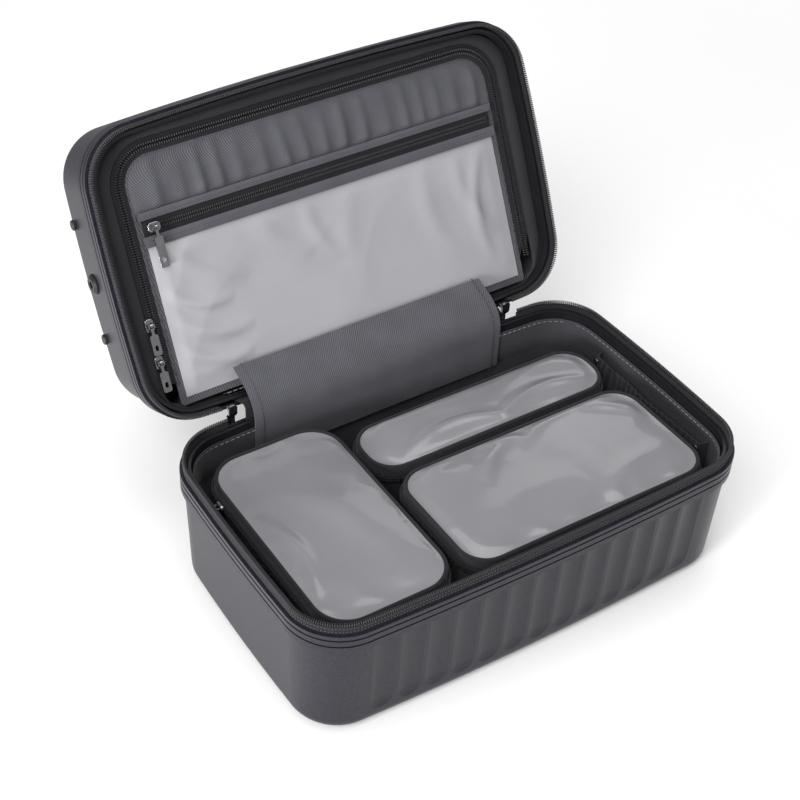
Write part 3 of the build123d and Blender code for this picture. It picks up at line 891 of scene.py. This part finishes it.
def buildPouch(name, data):
    body = name + "_pouch"
    count, top = pouchShape["points"], data["top"]
    l, r, f, b = data["box"]
    cx, cy = (l + r) / 2, (f + b) / 2
    sides = buildPouchSides(body, data, cx, cy)

    # clear top, crowned and rippled, closed at its middle
    base, rings = top - pouchShape["topDrop"], pouchShape["topRings"]
    rows = []
    for k in range(rings):
        s = 1 - k / rings
        row = []
        for x, y in pouchRing(data, -pouchShape["topInset"], count):
            px, py = cx + (x - cx) * s, cy + (y - cy) * s
            row.append(Vector((px, py, base + pouchTopHeight(data, px, py, s))))
        rows.append(row)
    window = clothGrid(body + "_vinyl", rows, vinylPouch, closed=True, thickness=pouchShape["topThickness"],
                       cap=Vector((cx, cy, base + pouchTopHeight(data, cx, cy, 0))))
    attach(window, body)
    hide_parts(body + "_window")

    # piping round the edge of the top
    across, high = pouchShape["pipingSize"]
    rows = []
    for k in range(9):
        a = 2 * pi * k / 8
        ring = pouchRing(data, -pouchShape["pipingInset"] + across * cos(a), count)
        rows.append([Vector((x, y, top - pouchShape["pipingDrop"] + high * sin(a))) for x, y in ring])
    piping = clothGrid(body + "_piping", rows, blackTape, closed=True)
    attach(piping, body)

    # zip round the upper side: its tape and two rows of coil
    zipTop, zipLow = top - pouchShape["zipHigh"], top - pouchShape["zipLow"]
    rows = []
    for k in range(7):
        v = k / 6
        ring = pouchRing(data, pouchShape["tapeOut"] * (1 + sin(pi * v)), count)
        rows.append([Vector((x, y, zipLow + (zipTop - zipLow) * v)) for x, y in ring])
    tape = clothGrid(body + "_zip_tape", rows, blackTape, closed=True, thickness=pouchShape["tapeThickness"])
    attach(tape, body)
    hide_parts(body + "_zip")
    out = pouchShape["coilOut"]
    loop = [tuple(q) for q in roundRect(l - out, r + out, f - out, b + out, data["radius"] + out)]
    for row, side in enumerate((-1, 1)):
        z = (zipTop + zipLow) / 2 + side * pouchShape["coilApart"]
        spots = [(Vector((p.x, p.y, z)), d, Vector((d.y, -d.x, 0)))
                 for p, d in alongPath(resample(loop, pouchShape["coilPitch"]), closed=True)]
        coil = repeatBlock(f"{body}_coil_{row}", spots, pouchShape["coil"], bevels["coil"], coilPlastic)
        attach(coil, body)
    print("pouch", name)


for name, data in pouches.items():
    buildPouch(name, data)


# ---------- floor, light and camera ----------

floor = {"size": 12.0, "colour": (0.92,) * 3, "fadeFrom": 0.5, "fadeTo": 1.1}
clearSelection()
bpy.ops.mesh.primitive_plane_add(size=floor["size"], location=(0, 0, -0.0004))
ground = bpy.context.active_object
ground.name = "studio_floor"
mat, nodes, links, shader = newMaterial("paleFloor", floor["colour"], 0.9)
coord = nodes.new("ShaderNodeTexCoord").outputs["Object"]
mottle(nodes, links, shader, floor["colour"], coord, 2, 0.004)
# the floor fades out into the white world
reach = nodes.new("ShaderNodeVectorMath")
reach.operation = "LENGTH"
fade = nodes.new("ShaderNodeMapRange")
fade.inputs["From Min"].default_value = floor["fadeFrom"]
fade.inputs["From Max"].default_value = floor["fadeTo"]
clear = nodes.new("ShaderNodeBsdfTransparent")
mixFloor = nodes.new("ShaderNodeMixShader")
links.new(coord, reach.inputs[0])
links.new(reach.outputs["Value"], fade.inputs["Value"])
links.new(fade.outputs["Result"], mixFloor.inputs["Fac"])
links.new(shader.outputs["BSDF"], mixFloor.inputs[1])
links.new(clear.outputs["BSDF"], mixFloor.inputs[2])
links.new(mixFloor.outputs["Shader"], nodes["Material Output"].inputs["Surface"])
ground.data.materials.append(mat)

sky = {"light": 0.44, "seen": 1.0}
world = bpy.data.worlds.new("studio")
bpy.context.scene.world = world
world.use_nodes = True
wn, wl = world.node_tree.nodes, world.node_tree.links
light = wn["Background"]
light.inputs["Color"].default_value = (1, 1, 1, 1)
light.inputs["Strength"].default_value = sky["light"]
white = wn.new("ShaderNodeBackground")
white.inputs["Color"].default_value = (1, 1, 1, 1)
white.inputs["Strength"].default_value = sky["seen"]
path = wn.new("ShaderNodeLightPath")
mixWorld = wn.new("ShaderNodeMixShader")
wl.new(path.outputs["Is Camera Ray"], mixWorld.inputs["Fac"])
wl.new(light.outputs["Background"], mixWorld.inputs[1])
wl.new(white.outputs["Background"], mixWorld.inputs[2])
wl.new(mixWorld.outputs["Shader"], wn["World Output"].inputs["Surface"])

lamps = {
    "keyLeft": {"at": (-1.3, -0.8, 1.8), "size": 1.0, "power": 26},
    "overhead": {"at": (0.2, 0.2, 2.2), "size": 1.6, "power": 22},
    "lowLeft": {"at": (-1.25, -0.40, 0.35), "size": 0.35, "power": 16},
    "backRight": {"at": (1.3, 1.4, 1.3), "size": 0.8, "power": 3},
}
lampTarget = Vector((0, 0.05, 0.1))
for name, lamp in lamps.items():
    clearSelection()
    bpy.ops.object.light_add(type="AREA", location=lamp["at"])
    obj = bpy.context.active_object
    obj.name = name
    obj.data.energy = lamp["power"]
    obj.data.size = lamp["size"]
    aim = lampTarget - Vector(lamp["at"])
    obj.rotation_euler = aim.to_track_quat("-Z", "Y").to_euler()

shot = {"at": (-0.4833, -0.6111, 0.8049), "azimuth": radians(-29.27), "elevation": radians(40.69),
        "roll": radians(-0.59), "focalPixels": 1604.6, "centre": (269.4, 397.4), "frame": 800}
clearSelection()
bpy.ops.object.camera_add(location=shot["at"])
camera = bpy.context.active_object
a, e, r = shot["azimuth"], shot["elevation"], shot["roll"]
back = Vector((sin(a) * cos(e), -cos(a) * cos(e), sin(e)))
right = Vector((cos(a), sin(a), 0))
up = back.cross(right)
right, up = cos(r) * right + sin(r) * up, -sin(r) * right + cos(r) * up
turn = Matrix((right, up, back)).transposed().to_4x4()
turn.translation = Vector(shot["at"])
camera.matrix_world = turn
camera.data.sensor_width = 36
camera.data.lens = shot["focalPixels"] / shot["frame"] * 36
camera.data.shift_x = (shot["frame"] / 2 - shot["centre"][0]) / shot["frame"]
camera.data.shift_y = -(shot["frame"] / 2 - shot["centre"][1]) / shot["frame"]
bpy.context.scene.camera = camera
bpy.context.scene.view_settings.view_transform = "Standard"
